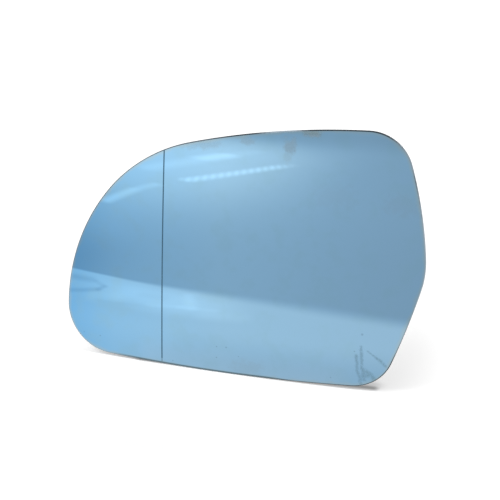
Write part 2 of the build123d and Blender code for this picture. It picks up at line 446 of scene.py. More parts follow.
def cloudy_finish(name, colours, clouds, roughness, spread=None, metal=0, grain=None, relief=0):
    """Two colours mixed by clouds, with a raised grain where one is given.

    Clouds and grain hold the size and detail of a noise, and spread makes the clouds harder.
    Roughness holds a base, what the clouds add and what the grain adds.
    Relief is the height of the grain in millimetres.
    """

    def look(position):
        masks = [noise(position, *values) for values in (clouds, grain) if values]
        if spread:
            masks[0] = masks[0].ramp(*spread)
        rough = roughness[0]
        for mask, added in zip(masks, roughness[1:]):
            rough = mask * added + rough
        inputs = {"Base Color": mix_colours(masks[0], *colours), "Roughness": rough, "Metallic": metal}
        if grain:
            inputs["Normal"] = bump(masks[1], relief)
        return inputs

    return new_finish(name, look)


# %% [markdown]
# Wear on the coating is drawn with two small helpers: a stroke for scratches and a blot for dull patches.
# Both measure a distance in millimetres and turn it into a soft mask, so a mark is a few plain numbers.
# An image texture could hold the marks too, but numbers stay sharp at any size and travel with the part.

# %% Strokes and blots
STROKE_SOCKETS = ["Across", "Up", "Start across", "Start up", "End across", "End up", "Half width"]
BLOT_BORDER = (1, 0.3)


def stroke_group():
    """Mask of a straight stroke between two points, and how far along it a place is."""
    outputs = {"Float": ["Mask", "Along"]}
    group, wires, end = new_group("stroke", {"Float": STROKE_SOCKETS}, outputs, "ShaderNodeTree")
    from_start = wires["Across"] - wires["Start across"]
    up_start = wires["Up"] - wires["Start up"]
    run = wires["End across"] - wires["Start across"]
    rise = wires["End up"] - wires["Start up"]
    along = ((from_start * run + up_start * rise) / (run * run + rise * rise)).limited()
    away = distance(from_start - along * run, up_start - along * rise)
    set_inputs(end, {"Mask": (away / wires["Half width"]).ramp(1, 0), "Along": along})
    return group


stroke_mask = stroke_group()
print("stroke group:", len(stroke_mask.nodes), "nodes")


def stroke(across, up, start, end, half_width):
    """Mask and progress of one stroke, in millimetres."""
    inputs = dict(zip(STROKE_SOCKETS, (across, up, *start, *end, half_width)))
    return results(across.tree, "ShaderNodeGroup", inputs, node_tree=stroke_mask)


def join(masks):
    """The strongest of several masks."""
    strongest = masks[0]
    for mask in masks[1:]:
        strongest = strongest.at_least(mask)
    return strongest


def blots(across, up, patches, raggedness):
    """The strongest of several patches, each with its middle and reach in millimetres and its share."""
    masks = []
    for middle_across, middle_up, reach_across, reach_up, share in patches:
        away = distance((across - middle_across) / reach_across, (up - middle_up) / reach_up)
        masks.append((away + raggedness).ramp(*BLOT_BORDER) * share)
    return join(masks)


# %% [markdown]
# The coating is a metal mirror with a blue tint, deeper at the outboard end, where it is seen more aslant.
# This one is used: dull patches along the top edge, a few specks, and scratches low inboard.
# Metal is 1 and the roughness near 0, so the looks come from what the mirror faces, as on the real thing.

# %% Colours and marks of the coating
# The tint from the outboard end to the inboard end: place and colour
TINT_STOPS = [
    (0, (0.178, 0.448, 0.745, 1)),
    (0.14, (0.245, 0.5, 0.745, 1)),
    (0.45, (0.305, 0.53, 0.722, 1)),
    (1, (0.29, 0.48, 0.648, 1)),
]
OLIVE_MOTTLE = (0.27, 0.47, 0.56, 1)
MOTTLE_SHARE = 0.22
TARNISH = (0.275, 0.33, 0.34, 1)
RIM_TARNISH = (0.39, 0.49, 0.5, 1)
RIM_TARNISH_WIDTH = 2.2
RIM_TARNISH_SHARE = 0.65
SCRATCH_GREY = (0.08, 0.15, 0.17, 1)
SCRATCH_STRENGTH = 0.36
SPECK_STRENGTH = 0.7
# Dried wash water has left a pale haze along the lower edge: start, end and reach
HAZE_GREY = (0.44, 0.58, 0.68, 1)
HAZE_SHARE = 0.22
HAZE_STRIP = ((-50, -58), (45, -60), 14)
# Along the lower edge the edge paint laps a little onto the coating, less towards the inboard corner; the
# band is also painted shade, darkened and widened for the shadow line where glass meets table
LAP_AND_SHADE_DARK = (0.06, 0.09, 0.095, 1)
LAP_AND_SHADE_SHARE = 0.75
LAP_AND_SHADE_WIDTH = 1.05
LAP_AND_SHADE_NARROW = 0.5
LAP_AND_SHADE_BORDER = (1.3, 0.7)
LAP_AND_SHADE_BELOW_Z = (-54, -58)
LAP_AND_SHADE_START_X = (-76, -56)
LAP_AND_SHADE_NARROWS_X = (28, 8)
LAP_AND_SHADE_CORNER_X = (50, 58)
LAP_AND_SHADE_CORNER_Z = (-36, -44)
# Below the cut line only a fine scribed trace runs on to the edge: start, end and half width
LINE_TRACE = ((-45, -57), (-45, -62), 0.5)
LINE_TRACE_SHARE = 0.6
# Patches of tarnish: middle x, z, reach x, z and share
TARNISH_PATCHES = [
    (-3, 62.4, 5.5, 3.2, 0.3),
    (19, 61.5, 5.4, 5.2, 0.38),
    (17.7, 56, 2.8, 4, 0.16),
    (29.4, 68.3, 6.4, 2.3, 0.62),
    (-28, 58.2, 18, 4, 0.25),
    (76, 37, 14, 7, 0.1),
    (42, 38, 16, 8, 0.07),
    (1, -56.5, 11, 6, 0.14),
]
# Scratches low inboard and one at the top: the points of each line, and its half width
SCRATCHES = [
    ([(59, -37.5), (59.4, -43.5), (60, -48.5), (61.5, -55)], 1.5),
    ([(56.7, -42.3), (57.2, -46.6), (57.6, -50.4), (59.4, -54.5), (59.7, -57.5)], 1.6),
    ([(60.6, -49.4), (64.9, -52.2), (66.5, -54.5)], 2),
    ([(59.4, -53.5), (63, -52.5)], 2),
    ([(62.3, -39.4), (66.4, -42.2)], 0.8),
    ([(66.4, -42.2), (69, -44), (71.6, -46.4)], 1.3),
    ([(25.8, 68.4), (33.2, 69)], 1.6),
]
# Specks: x, z and reach
SPECKS = [
    (59.2, -30.7, 0.9),
    (55.8, -40.2, 0.6),
    (-89.2, -50.2, 0.5),
    (-79.8, -50.8, 0.6),
    (-15.4, -47, 0.6),
    (-10.3, -46.8, 0.7),
    (-15.4, -53.1, 0.6),
    (-3.7, -50.9, 0.5),
    (-39, -58.4, 0.5),
    (44.3, -55.9, 0.5),
]
print("marks:", len(TARNISH_PATCHES), "patches", len(SCRATCHES), "scratches", len(SPECKS), "specks")

# %% The blue coating
MIRROR_ROUGHNESS = 0.012
SMUDGE_ROUGHNESS = 0.012
DULL_ROUGHNESS = 0.3
# Patches: size and detail of their noise, and the two values between which they come in
SCRATCH_BREAKS = (1.2, 3, 0.1, 0.62)
MOTTLE_PATCHES = (9, 5, 0.45, 0.7)
SMUDGE_PATCHES = (22, 4, 0.4, 0.75)
# Unsteady lines and borders: size and detail of their noise, and its swing
SCRATCH_WANDER = (2.5, 3, 2)
TARNISH_RAGGED = (3, 3, 1.6)
RIM_TARNISH_LUMPS = 6
RIM_DISTANCE = "rim_distance"
GLASS_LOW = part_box("mirror_glass")[0] / MM
GLASS_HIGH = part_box("mirror_glass")[1] / MM


def scratch_mask(x, z, position):
    """All scratches and specks, broken up along their length."""
    wandering_x = x + swing(position, *SCRATCH_WANDER)
    masks = []
    for points, half_width in SCRATCHES:
        for start, end in zip(points, points[1:]):
            masks.append(stroke(wandering_x, z, start, end, half_width)[0])
    broken = patchy(position, *SCRATCH_BREAKS)
    specks = [(px, pz, reach, reach, SPECK_STRENGTH) for px, pz, reach in SPECKS]
    return (join(masks) * broken).at_least(blots(x, z, specks, 0))


def border_masks(x, z, position):
    """The uneven dull border where damp has crept in, the edge paint that laps onto the coating together with
    painted shade, and the scribed trace.
    """
    away = result(x.tree, "ShaderNodeAttribute", output="Fac", attribute_name=RIM_DISTANCE) / MM
    reach = noise(position, RIM_TARNISH_LUMPS) * (RIM_TARNISH_WIDTH * 2)
    rim = (away / reach).ramp(1, 0) * RIM_TARNISH_SHARE
    low = z.ramp(*LAP_AND_SHADE_BELOW_Z) * x.ramp(*LAP_AND_SHADE_START_X)
    corner = z.ramp(*LAP_AND_SHADE_CORNER_Z) * x.ramp(*LAP_AND_SHADE_CORNER_X)
    width = LAP_AND_SHADE_NARROW + x.ramp(*LAP_AND_SHADE_NARROWS_X) * (LAP_AND_SHADE_WIDTH - LAP_AND_SHADE_NARROW)
    # Painted shade: this dark band along the lower edge also stands for the shadow line where glass meets
    # table
    lap_and_shade = (away / width).ramp(*LAP_AND_SHADE_BORDER) * low.at_least(corner) * LAP_AND_SHADE_SHARE
    trace, _ = stroke(x, z, *LINE_TRACE)
    return rim, lap_and_shade.at_least(trace * LINE_TRACE_SHARE)


def blue_coating(position):
    """Blue metal mirror with its haze, tarnish, a band of edge paint and painted shade along the lower edge,
    and scratches, laid over each other in that order.
    """
    x, _, z = parts_of(position)
    colour = colour_ramp((x - GLASS_LOW.x) / (GLASS_HIGH.x - GLASS_LOW.x), TINT_STOPS)
    haze, _ = stroke(x, z, *HAZE_STRIP)
    mottle = patchy(position, *MOTTLE_PATCHES)
    tarnish = blots(x, z, TARNISH_PATCHES, swing(position, *TARNISH_RAGGED))
    rim, lap_and_shade = border_masks(x, z, position)
    scratches = scratch_mask(x, z, position)
    layers = [
        (haze * HAZE_SHARE, HAZE_GREY),
        (mottle * MOTTLE_SHARE, OLIVE_MOTTLE),
        (tarnish, TARNISH),
        (rim, RIM_TARNISH),
        (lap_and_shade, LAP_AND_SHADE_DARK),
        (scratches * SCRATCH_STRENGTH, SCRATCH_GREY),
    ]
    for share, layer_colour in layers:
        colour = mix_colours(share, colour, layer_colour)
    smudges = patchy(position, *SMUDGE_PATCHES)
    rough = MIRROR_ROUGHNESS + smudges * SMUDGE_ROUGHNESS + tarnish.at_least(scratches) * DULL_ROUGHNESS
    return {"Base Color": colour, "Roughness": rough, "Metallic": 1}


coating = new_finish("blue_mirror_coating", blue_coating)

# %% [markdown]
# The pane's edge is ground and sealed with dark paint, and its back carries a grey protective lacquer.
# The dividing line is cut into the coating, so it mirrors only a little of the light.
# Along the inboard side and a stretch at the top the paint has worn off, and pale ground glass shows.
# Each surface is a finish of its own, so that the pane can lay them on by the way its faces look.

# %% Edge, line and lacquer
EDGE_PAINT = (0.034, 0.05, 0.062, 1)
BARE_EDGE = (0.6, 0.74, 0.86, 1)
EDGE_SPECULAR = 0.1
EDGE_ROUGHNESS = 0.6
# Marks of grinding: size and detail of their noise, what they add to the roughness, and their height
GRINDING = (0.15, 2)
GRINDING_ROUGHNESS = 0.2
GRINDING_RELIEF = 0.02
CHIP_SHARE = 0.3
CHIP_PATCHES = (0.8, 4, 0.62, 0.72)
BARE_RAGGED = (1.5, 4, 0.6)
LINE_COLOURS = ((0.09, 0.205, 0.3, 1), (0.06, 0.12, 0.17, 1))
LACQUER_COLOURS = ((0.085, 0.088, 0.09, 1), (0.13, 0.132, 0.13, 1))
# Stretches where the paint has worn off: middle x, z, reach x, z and share
BARE_STRETCHES = [
    (15.2, 68, 15, 8, 0.5),
    (92, 6, 26, 84, 0.55),
    (84, 62, 24, 20, 0.44),
    (-40, 48, 42, 34, 0.17),
    (-95, -20, 14, 44, 0.14),
    (-74, -58, 16, 8, 0.3),
    (-29, -61.5, 57, 8, 0.45),
    (82, -30, 12, 18, 0.4),
]


def ground_edge(position):
    """Dark edge paint on ground glass, worn off along some stretches and chipped elsewhere."""
    x, _, z = parts_of(position)
    worn = blots(x, z, BARE_STRETCHES, swing(position, *BARE_RAGGED))
    chips = patchy(position, *CHIP_PATCHES) * CHIP_SHARE
    grinding = noise(position, *GRINDING)
    return {
        "Base Color": mix_colours(worn.at_least(chips), EDGE_PAINT, BARE_EDGE),
        "Roughness": EDGE_ROUGHNESS + grinding * GRINDING_ROUGHNESS,
        "Specular IOR Level": EDGE_SPECULAR,
        "Normal": bump(grinding, GRINDING_RELIEF),
    }


edge_finish = new_finish("ground_glass_edge", ground_edge)
line_finish = cloudy_finish("dividing_line", LINE_COLOURS, clouds=(0.4, 4), roughness=(0.25, 0.2), metal=1)
lacquer_finish = cloudy_finish(
    "back_lacquer", LACQUER_COLOURS, clouds=(9, 5), roughness=(0.42, 0.15), grain=(0.7, 2), relief=0.02
)

# %% [markdown]
# Now the pane itself. Its shape follows a rule, so Geometry Nodes make it: a grid wrapped round the outline.
# Across the grid we walk from the middle of the front to the rim, over the edge and back to the middle.
# A thin cutter that follows the same surface then opens the groove of the dividing line.
# The normals come from the surface formula, because a mirror shows the smallest error of a faceted one.

# %% The pane's grid and its groove
PANE_INPUTS = {
    "Object": {"Outline": glass_outline},
    "Float": {
        "Thickness": 2 * MM,
        "Arris": 0.35 * MM,
        "Line at": LINE_X * MM,
        "Line width": 0.65 * MM,
        "Line depth": 0.08 * MM,
        "Line low": -57.8 * MM,
        "Line high": 58 * MM,
    },
    "Int": {"Around": 300, "Rings": 34, "Line steps": 60},
    "Material": {"Coating": coating, "Edge": edge_finish, "Line": line_finish, "Lacquer": lacquer_finish},
}
WELD_DISTANCE = 0.01


def outline_of(wires):
    """The outline curve that a tree is given."""
    outline = wires["Outline"]
    return result(outline.tree, "GeometryNodeObjectInfo", {"Object": outline}, "Geometry")


def wrapped_grid(tree, wires):
    """A closed pane: a grid wrapped from the front's middle round the edge to the back's middle."""
    rings = wires["Rings"]
    arris = wires["Arris"]
    steps = rings * 2 + 3
    inputs = {"Size X": 1, "Size Y": 1, "Vertices X": wires["Around"] + 1, "Vertices Y": steps + 1}
    grid = result(tree, "GeometryNodeMeshGrid", inputs)
    u, v, _ = own_place(tree)
    walk = (v + 0.5) * steps
    share = (walk.at_most(steps - walk) / rings).limited()
    front_arris = (walk - rings).limited()
    side = (walk - rings - 1).limited()
    back_arris = (walk - rings - 2).limited()
    depth = arris * front_arris + (wires["Thickness"] - arris * 2) * side + arris * back_arris
    inset = arris * (1 - front_arris + back_arris)
    curve = add_node(tree, "GeometryNodeSampleCurve", {"Curves": outline_of(wires), "Factor": u + 0.5})
    inputs = {0: Wire(curve.outputs["Tangent"]), 1: (0, 1, 0)}
    outward = result(tree, "ShaderNodeVectorMath", inputs, operation="CROSS_PRODUCT")
    rim_x, _, rim_z = parts_of(Wire(curve.outputs["Position"]))
    out_x, _, out_z = parts_of(outward)
    x = (rim_x - out_x * inset) * share
    z = (rim_z - out_z * inset) * share
    point, _ = on_surface(x, z, depth)
    inputs = {"Geometry": moved(grid, point), "Distance": WELD_DISTANCE * MM}
    return result(tree, "GeometryNodeMergeByDistance", inputs)


def line_cutter(tree, wires):
    """A thin bar that follows the surface and reaches from in front of it down to the line's depth."""
    across, inward, up = own_place(tree)
    x = wires["Line at"] + across * wires["Line width"]
    z = wires["Line low"] + (up + 0.5) * (wires["Line high"] - wires["Line low"])
    depth = inward.ramp(-0.5, 0.5) * (wires["Line depth"] + wires["Thickness"]) - wires["Thickness"]
    point, _ = on_surface(x, z, depth)
    return moved(unit_box(tree, 2, wires["Line steps"]), point)


# %% The pane's normals and finishes
SHARP_ANGLE = math.radians(20)
FACE_ON = 0.9


def surface_normals(tree, mesh):
    """Gives the two polished faces the normals of the formula, and leaves the edges as they are."""
    x, y, z = own_place(tree)
    point, formula = on_surface(x, z, 0)
    true_normal = result(tree, "GeometryNodeInputNormal", output="True Normal")
    settings = {"domain": "FACE", "data_type": "FLOAT_VECTOR"}
    normal = result(tree, "GeometryNodeFieldOnDomain", {0: true_normal}, **settings)
    facing = parts_of(normal)[1] * -1
    backward = result(tree, "ShaderNodeVectorMath", {0: formula, 3: -1}, operation="SCALE")
    for chosen, polished in ((facing.above(FACE_ON), formula), (facing.below(-FACE_ON), backward)):
        inputs = {"Switch": chosen, "False": normal, "True": polished}
        normal = result(tree, "GeometryNodeSwitch", inputs, input_type="VECTOR")
    smooth = result(tree, "GeometryNodeSetShadeSmooth", {0: mesh})
    bend = result(tree, "GeometryNodeInputMeshEdgeAngle", output="Unsigned Angle")
    inputs = {0: smooth, 1: bend.above(SHARP_ANGLE), 2: False}
    sharpened = result(tree, "GeometryNodeSetShadeSmooth", inputs, domain="EDGE")
    inputs = {"Mesh": sharpened, "Custom Normal": normal}
    shaded = result(tree, "GeometryNodeSetMeshNormal", inputs, mode="FREE", domain="CORNER")
    below_surface = y - parts_of(point)[1]
    return shaded, facing, below_surface


def outline_distance(tree, wires):
    """How far each point lies from the outline, measured on the outline's plane."""
    x, _, z = own_place(tree)
    edges = result(tree, "GeometryNodeCurveToMesh", {"Curve": outline_of(wires)})
    inputs = {"Geometry": edges, "Sample Position": as_vector(x, 0, z)}
    return result(tree, "GeometryNodeProximity", inputs, "Distance", target_element="EDGES")


def pane_tree():
    """The whole pane: wrapped grid, groove, rim distance, normals and finishes."""
    tree, wires, end = new_group("bent mirror pane", PANE_INPUTS, {"Geometry": ["Pane"]})
    groove = {0: wrapped_grid(tree, wires), 1: line_cutter(tree, wires)}
    cut = result(tree, "GeometryNodeMeshBoolean", groove, operation="DIFFERENCE", solver="EXACT")
    inputs = {"Geometry": cut, "Name": RIM_DISTANCE, "Value": outline_distance(tree, wires)}
    measured = result(tree, "GeometryNodeStoreNamedAttribute", inputs)
    mesh, facing, below_surface = surface_normals(tree, measured)
    mesh = realized(mesh)
    choices = {
        "Edge": True,
        "Coating": facing.above(FACE_ON),
        "Lacquer": facing.below(-FACE_ON),
        "Line": facing.above(FACE_ON) * below_surface.above(wires["Line depth"] / 2),
    }
    for name, chosen in choices.items():
        mesh = finished(mesh, wires[name], chosen)
    feed(end.inputs["Pane"], mesh)
    return tree


# %% Make the pane
pane = made_mesh("bent_mirror_pane", pane_tree(), PANE_INPUTS)
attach(pane, "root")
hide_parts("mirror_glass")

# %% [markdown]
# The plate is injection-moulded black plastic: satin, a little cloudy, and scuffed where it was handled.
# The depth below the mirror tells the rib tops from the ground between them, so no mask needs painting.

# %% Black moulded plastic
PLASTIC_BLACK = (0.011, 0.011, 0.012, 1)
PLASTIC_GREY = (0.024, 0.024, 0.026, 1)
SCUFF_GREY = (0.085, 0.085, 0.088, 1)
SCUFF_SHARE = 0.55
SCUFF_PATCHES = (1.8, 6, 0.5, 0.72)
PLASTIC_CLOUDS = 25
PLASTIC_GRAIN = (0.4, 2)
PLASTIC_RELIEF = 0.025
# Roughness of plain plastic, and what clouds, grain and scuffs add to it
PLASTIC_ROUGHNESS = 0.36
CLOUD_ROUGHNESS = 0.12
GRAIN_ROUGHNESS = 0.1
SCUFF_ROUGHNESS = 0.25
# Depths at which the rib tops come in and go out again
RIB_TOP_START = (6.2, 6.6)
RIB_TOP_END = (7.6, 7.1)
SOCKET_MOUTH_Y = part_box("back_plate")[1].y / MM
MOUTH_DEPTH = 0.4


def depth_below_mirror(x, y, z):
    """How far a place lies behind the mirror surface, nearly, in millimetres."""
    fall = (LINE_X - x).at_least(0) / FALL_WIDTH
    sag = (x * x + z * z) / (2 * MAIN_RADIUS) + fall * fall * fall * FALL_DROP
    return y - sag - FRONT_VERTEX_Y


def moulded_plastic(position):
    """Black plastic with a fine moulded grain, scuffed on the rib tops and the mouth of the socket."""
    x, y, z = parts_of(position)
    depth = depth_below_mirror(x, y, z)
    on_ribs = depth.ramp(*RIB_TOP_START) * depth.ramp(*RIB_TOP_END)
    on_mouth = y.ramp(SOCKET_MOUTH_Y - MOUTH_DEPTH, SOCKET_MOUTH_Y)
    scuffs = patchy(position, *SCUFF_PATCHES) * on_ribs.at_least(on_mouth) * SCUFF_SHARE
    clouds = noise(position, PLASTIC_CLOUDS)
    grain = noise(position, *PLASTIC_GRAIN)
    rough = PLASTIC_ROUGHNESS + clouds * CLOUD_ROUGHNESS + grain * GRAIN_ROUGHNESS
    return {
        "Base Color": mix_colours(scuffs, mix_colours(clouds, PLASTIC_BLACK, PLASTIC_GREY), SCUFF_GREY),
        "Roughness": rough + scuffs * SCUFF_ROUGHNESS,
        "Normal": bump(grain, PLASTIC_RELIEF),
    }


plastic = new_finish("black_moulded_plastic", moulded_plastic)

# %% [markdown]
# The frame's plate has the right shape but knife-sharp edges, and no mould leaves such edges.
# A copy of it, with its doubled points merged, gets a Bevel modifier: it rounds edges and rib roots alike.
# The same helper serves the stamped terminals and the rivets, with smaller rounds.

# %% Softened copies of frame pieces
MERGE_DISTANCE = 0.001
ROUND_SEGMENTS = 2
SOFTEN_ANGLE = math.radians(35)
CREASE_ANGLE = math.radians(50)


def softened_copy(node, name, round_mm, finish):
    """A merged copy of a frame piece whose sharp edges get a small round."""
    mesh = bpy.data.meshes.new(name)
    solid = bmesh.new()
    solid.from_mesh(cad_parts[node].data)
    bmesh.ops.remove_doubles(solid, verts=solid.verts, dist=MERGE_DISTANCE * MM)
    solid.to_mesh(mesh)
    solid.free()
    if "custom_normal" in mesh.attributes:
        mesh.attributes.remove(mesh.attributes["custom_normal"])
    mesh.materials.append(finish)
    piece = new_object(name, mesh)
    bevel = piece.modifiers.new("soft edges", "BEVEL")
    bevel.width = round_mm * MM
    bevel.segments = ROUND_SEGMENTS
    bevel.limit_method = "ANGLE"
    bevel.angle_limit = SOFTEN_ANGLE
    bevel.use_clamp_overlap = False
    return piece


def keep_flats_flat(piece):
    """Lets large faces rule the shading, so that rounds read as rounds."""
    piece.data.shade_smooth()
    piece.data.set_sharp_from_angle(angle=CREASE_ANGLE)
    weighting = piece.modifiers.new("flat faces", "WEIGHTED_NORMAL")
    weighting.keep_sharp = True
    return make_plain(piece)


# %% [markdown]
# Ejector pins push the plate out of its mould and leave low round marks between the ribs.
# They repeat on two rings, so Geometry Nodes place them: points on a ring, a flat disc on each, then a union.
# Points that fall too near the outline are deleted, because no pin stands in the rim.

# %% Ejector pin marks on the plate
PIN_INPUTS = {
    "Object": {"Outline": glass_outline},
    "Float": {
        "Plate depth": 4.2 * MM,
        "Pin radius": 2.1 * MM,
        "Pin height": 0.16 * MM,
        "Inner ring": 41 * MM,
        "Outer ring": 62 * MM,
        "Rim margin": 9 * MM,
    },
    "Int": {"Inner pins": 6, "Outer pins": 9},
    "Material": {"Plastic": plastic},
}
PIN_CORNERS = 32
# Turn of the first pin on each ring
PIN_TURNS = {"Outer": math.radians(10), "Inner": math.radians(30)}


def points_on_ring(tree, wires, ring):
    """Points on a ring round the socket, laid on the plate, without those near the outline."""
    count = wires[ring + " pins"]
    radius = wires[ring + " ring"]
    angle = result(tree, "GeometryNodeInputIndex") * (2 * math.pi) / count + PIN_TURNS[ring]
    x = angle.sine() * radius
    z = (angle + math.pi / 2).sine() * radius
    point, _ = on_surface(x, z, wires["Plate depth"])
    points = result(tree, "GeometryNodePoints", {"Count": count, "Position": point})
    near = outline_distance(tree, wires).below(wires["Rim margin"])
    return result(tree, "GeometryNodeDeleteGeometry", {"Geometry": points, "Selection": near})


def pin_marks_tree():
    """The plate with its ejector pin marks."""
    mesh_socket = {"Geometry": ["Plate"]}
    tree, wires, end = new_group("ejector pin marks", {**mesh_socket, **PIN_INPUTS}, mesh_socket)
    points = joined([points_on_ring(tree, wires, ring) for ring in PIN_TURNS])
    inputs = {"Vertices": PIN_CORNERS, "Radius": wires["Pin radius"], "Depth": wires["Pin height"] * 2}
    disc = result(tree, "GeometryNodeMeshCylinder", inputs)
    x, _, z = own_place(tree)
    _, normal = on_surface(x, z, wires["Plate depth"])
    turned = result(tree, "FunctionNodeAlignRotationToVector", {"Vector": normal}, axis="Z")
    inputs = {"Points": points, "Instance": disc, "Rotation": turned}
    pins = realized(result(tree, "GeometryNodeInstanceOnPoints", inputs))
    settings = {"operation": "UNION", "solver": "EXACT"}
    union = joined([wires["Plate"], pins], "GeometryNodeMeshBoolean", 1, **settings)
    feed(end.inputs["Plate"], finished(union, wires["Plastic"]))
    return tree


# %% Make the plate
PLATE_ROUND = 0.25
plate = softened_copy("back_plate", "moulded_back_plate", PLATE_ROUND, plastic)
add_tree(plate, pin_marks_tree(), PIN_INPUTS)
make_plain(plate)
keep_flats_flat(plate)
bpy.data.objects.remove(glass_outline)
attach(plate, "root")
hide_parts("back_plate")

# %% [markdown]
# The heater is a thin amber film, seen through the socket and the two terminal windows.
# Its silver track is printed as a comb: fine bars, every second one joined to the other side's conductor.
# A painted pattern would have no edge, so Geometry Nodes lay real bars of ink, which catch the light.

# %% Heater film and silver ink
FILM_COLOURS = ((0.06, 0.03, 0.014, 1), (0.11, 0.055, 0.022, 1))
INK_COLOURS = ((0.52, 0.5, 0.46, 1), (0.33, 0.31, 0.28, 1))
film_finish = cloudy_finish("amber_film", FILM_COLOURS, clouds=(6, 4), roughness=(0.28, 0.15))
ink_finish = cloudy_finish(
    "silver_ink",
    INK_COLOURS,
    clouds=(3, 4),
    roughness=(0.4, 0, 0.25),
    metal=0.8,
    grain=(0.12, 2),
    relief=0.01,
)
foil_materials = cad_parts["heating_foil"].data.materials
foil_materials.clear()
foil_materials.append(film_finish)

# %% The track's Geometry Nodes tree
TRACK_INPUTS = {
    "Float": {
        "Film depth": 2.4 * MM,
        "Ink thickness": 0.04 * MM,
        "Bar width": 0.9 * MM,
        "Bar pitch": 2.6 * MM,
        "Bar shift": 2.4 * MM,
        "Print radius": 26 * MM,
        "Conductor width": 1.5 * MM,
    },
    "Int": {"Bars": 17},
    "Material": {"Ink": ink_finish},
}
BAR_POINTS = 14
CONDUCTOR_POINTS = 28
CONDUCTOR_ANGLE = math.radians(50)


def comb_bars(tree, wires):
    """Straight bars across a round field, each second one shifted to the other side, as flat boxes."""
    index = result(tree, "GeometryNodeInputIndex")
    z = (index - (wires["Bars"] - 1) / 2) * wires["Bar pitch"]
    shift = (index % 2 - 0.5) * wires["Bar shift"]
    inputs = {"Count": wires["Bars"], "Position": as_vector(shift, 0, z)}
    points = result(tree, "GeometryNodePoints", inputs)
    reach = wires["Print radius"] - wires["Bar shift"]
    _, _, height = own_place(tree)
    chord = (reach * reach - height * height).root() * 2
    scale = as_vector(chord, wires["Ink thickness"], wires["Bar width"])
    inputs = {"Points": points, "Instance": unit_box(tree, BAR_POINTS, 2), "Scale": scale}
    return realized(result(tree, "GeometryNodeInstanceOnPoints", inputs))


def conductor(tree, wires, side):
    """A wide curved strip along one side of the field, as a flat box."""
    along, through, across = own_place(tree)
    angle = along * (2 * CONDUCTOR_ANGLE)
    radius = wires["Print radius"] + across * wires["Conductor width"] * side
    x = (angle + math.pi / 2).sine() * radius * side
    z = angle.sine() * radius
    point = as_vector(x, through * wires["Ink thickness"], z)
    return moved(unit_box(tree, CONDUCTOR_POINTS, 2), point)


def heater_track_tree():
    """The printed comb, laid on the back of the film."""
    tree, wires, end = new_group("heater track", TRACK_INPUTS, {"Geometry": ["Track"]})
    flat = joined([comb_bars(tree, wires), conductor(tree, wires, 1), conductor(tree, wires, -1)])
    x, y, z = own_place(tree)
    point, _ = on_surface(x, z, wires["Film depth"] + y + wires["Ink thickness"] / 2)
    feed(end.inputs["Track"], finished(realized(moved(flat, point)), wires["Ink"]))
    return tree


track = made_mesh("printed_heater_track", heater_track_tree(), TRACK_INPUTS)
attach(track, "root")

# %% [markdown]
# The two blade tabs are stamped from tin-plated brass, and the rivets are turned brass.
# Both metals have dulled in patches and show the fine lines that drawing and turning leave.
# The frame's solids already have their shape, so softened copies are enough, and one look serves both metals.

# %% Terminals and rivets with soft edges
TIN_COLOURS = ((0.64, 0.62, 0.58, 1), (0.43, 0.41, 0.37, 1))
BRASS_COLOURS = ((0.69, 0.5, 0.23, 1), (0.42, 0.29, 0.13, 1))
METAL_LOOK = {
    "clouds": (2.5, 4),
    "spread": (0.35, 0.7),
    "roughness": (0.25, 0.2, 0.1),
    "metal": 1,
    "grain": (0.3, 3, (1, 0.1, 1)),
    "relief": 0.01,
}
METAL_ROUND = 0.08
tin = cloudy_finish("tin_plate", TIN_COLOURS, **METAL_LOOK)
brass = cloudy_finish("turned_brass", BRASS_COLOURS, **METAL_LOOK)
for node, name, metal, slot in (
    ("heater_terminal_inboard", "blade_tab_inboard", tin, "tinned_brass"),
    ("heater_terminal_outboard", "blade_tab_outboard", tin, "tinned_brass"),
    ("terminal_rivets", "turned_rivets", brass, "rivet_brass"),
):
    piece = keep_flats_flat(make_plain(softened_copy(node, name, METAL_ROUND, metal)))
    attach(piece, "root")
    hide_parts(node)

# %% [markdown]
# The camera stood a little inboard of the glass and looked down on it, from about three quarters of a metre.
# The camera's angles and lens were found by laying the outline over the picture until the two agreed.

# %% Camera
# Angles in degrees, lengths in millimetres
CAMERA_AZIMUTH = 15.27
CAMERA_ELEVATION = 18.23
CAMERA_ROLL = 1.74
CAMERA_DISTANCE = 745
CAMERA_TARGET = Vector((0.97, -14.8, 6.98))
CAMERA_LENS = 108.44
CAMERA_SENSOR = 36
lens = bpy.data.cameras.new("photo_camera")
lens.lens = CAMERA_LENS
lens.sensor_width = CAMERA_SENSOR
camera = new_object("photo_camera", lens)
target = Matrix.Translation(CAMERA_TARGET * MM)
turned = Matrix.Rotation(math.radians(CAMERA_AZIMUTH), 4, "Z")
tipped = Matrix.Rotation(math.radians(90 - CAMERA_ELEVATION), 4, "X")
rolled = Matrix.Rotation(math.radians(CAMERA_ROLL), 4, "Z")
back_off = Matrix.Translation((0, 0, CAMERA_DISTANCE * MM))
camera.matrix_world = target @ turned @ tipped @ rolled @ back_off
bpy.context.scene.camera = camera
print("camera at", [round(value / MM, 1) for value in camera.matrix_world.translation])

# %% [markdown]
# The glass stands on its lower edge on a white table, which is lit softly and keeps a soft shadow.
# Rays that come from the camera or from a reflection see it a little brighter, so that it reads as white.

# %% Floor
FLOOR_GAP = 0.2
FLOOR_Z = GLASS_LOW.z - FLOOR_GAP
FLOOR_SIZE = 6000
FLOOR_WHITE = (0.86, 0.86, 0.86, 1)
FLOOR_ROUGHNESS = 0.9
WHITE_LIGHT = (1, 1, 1, 1)
FLOOR_GLOW_NEAR = 0.22
FLOOR_GLOW_FAR = 0.55
FLOOR_GLOW_RANGE = (120, 1000)
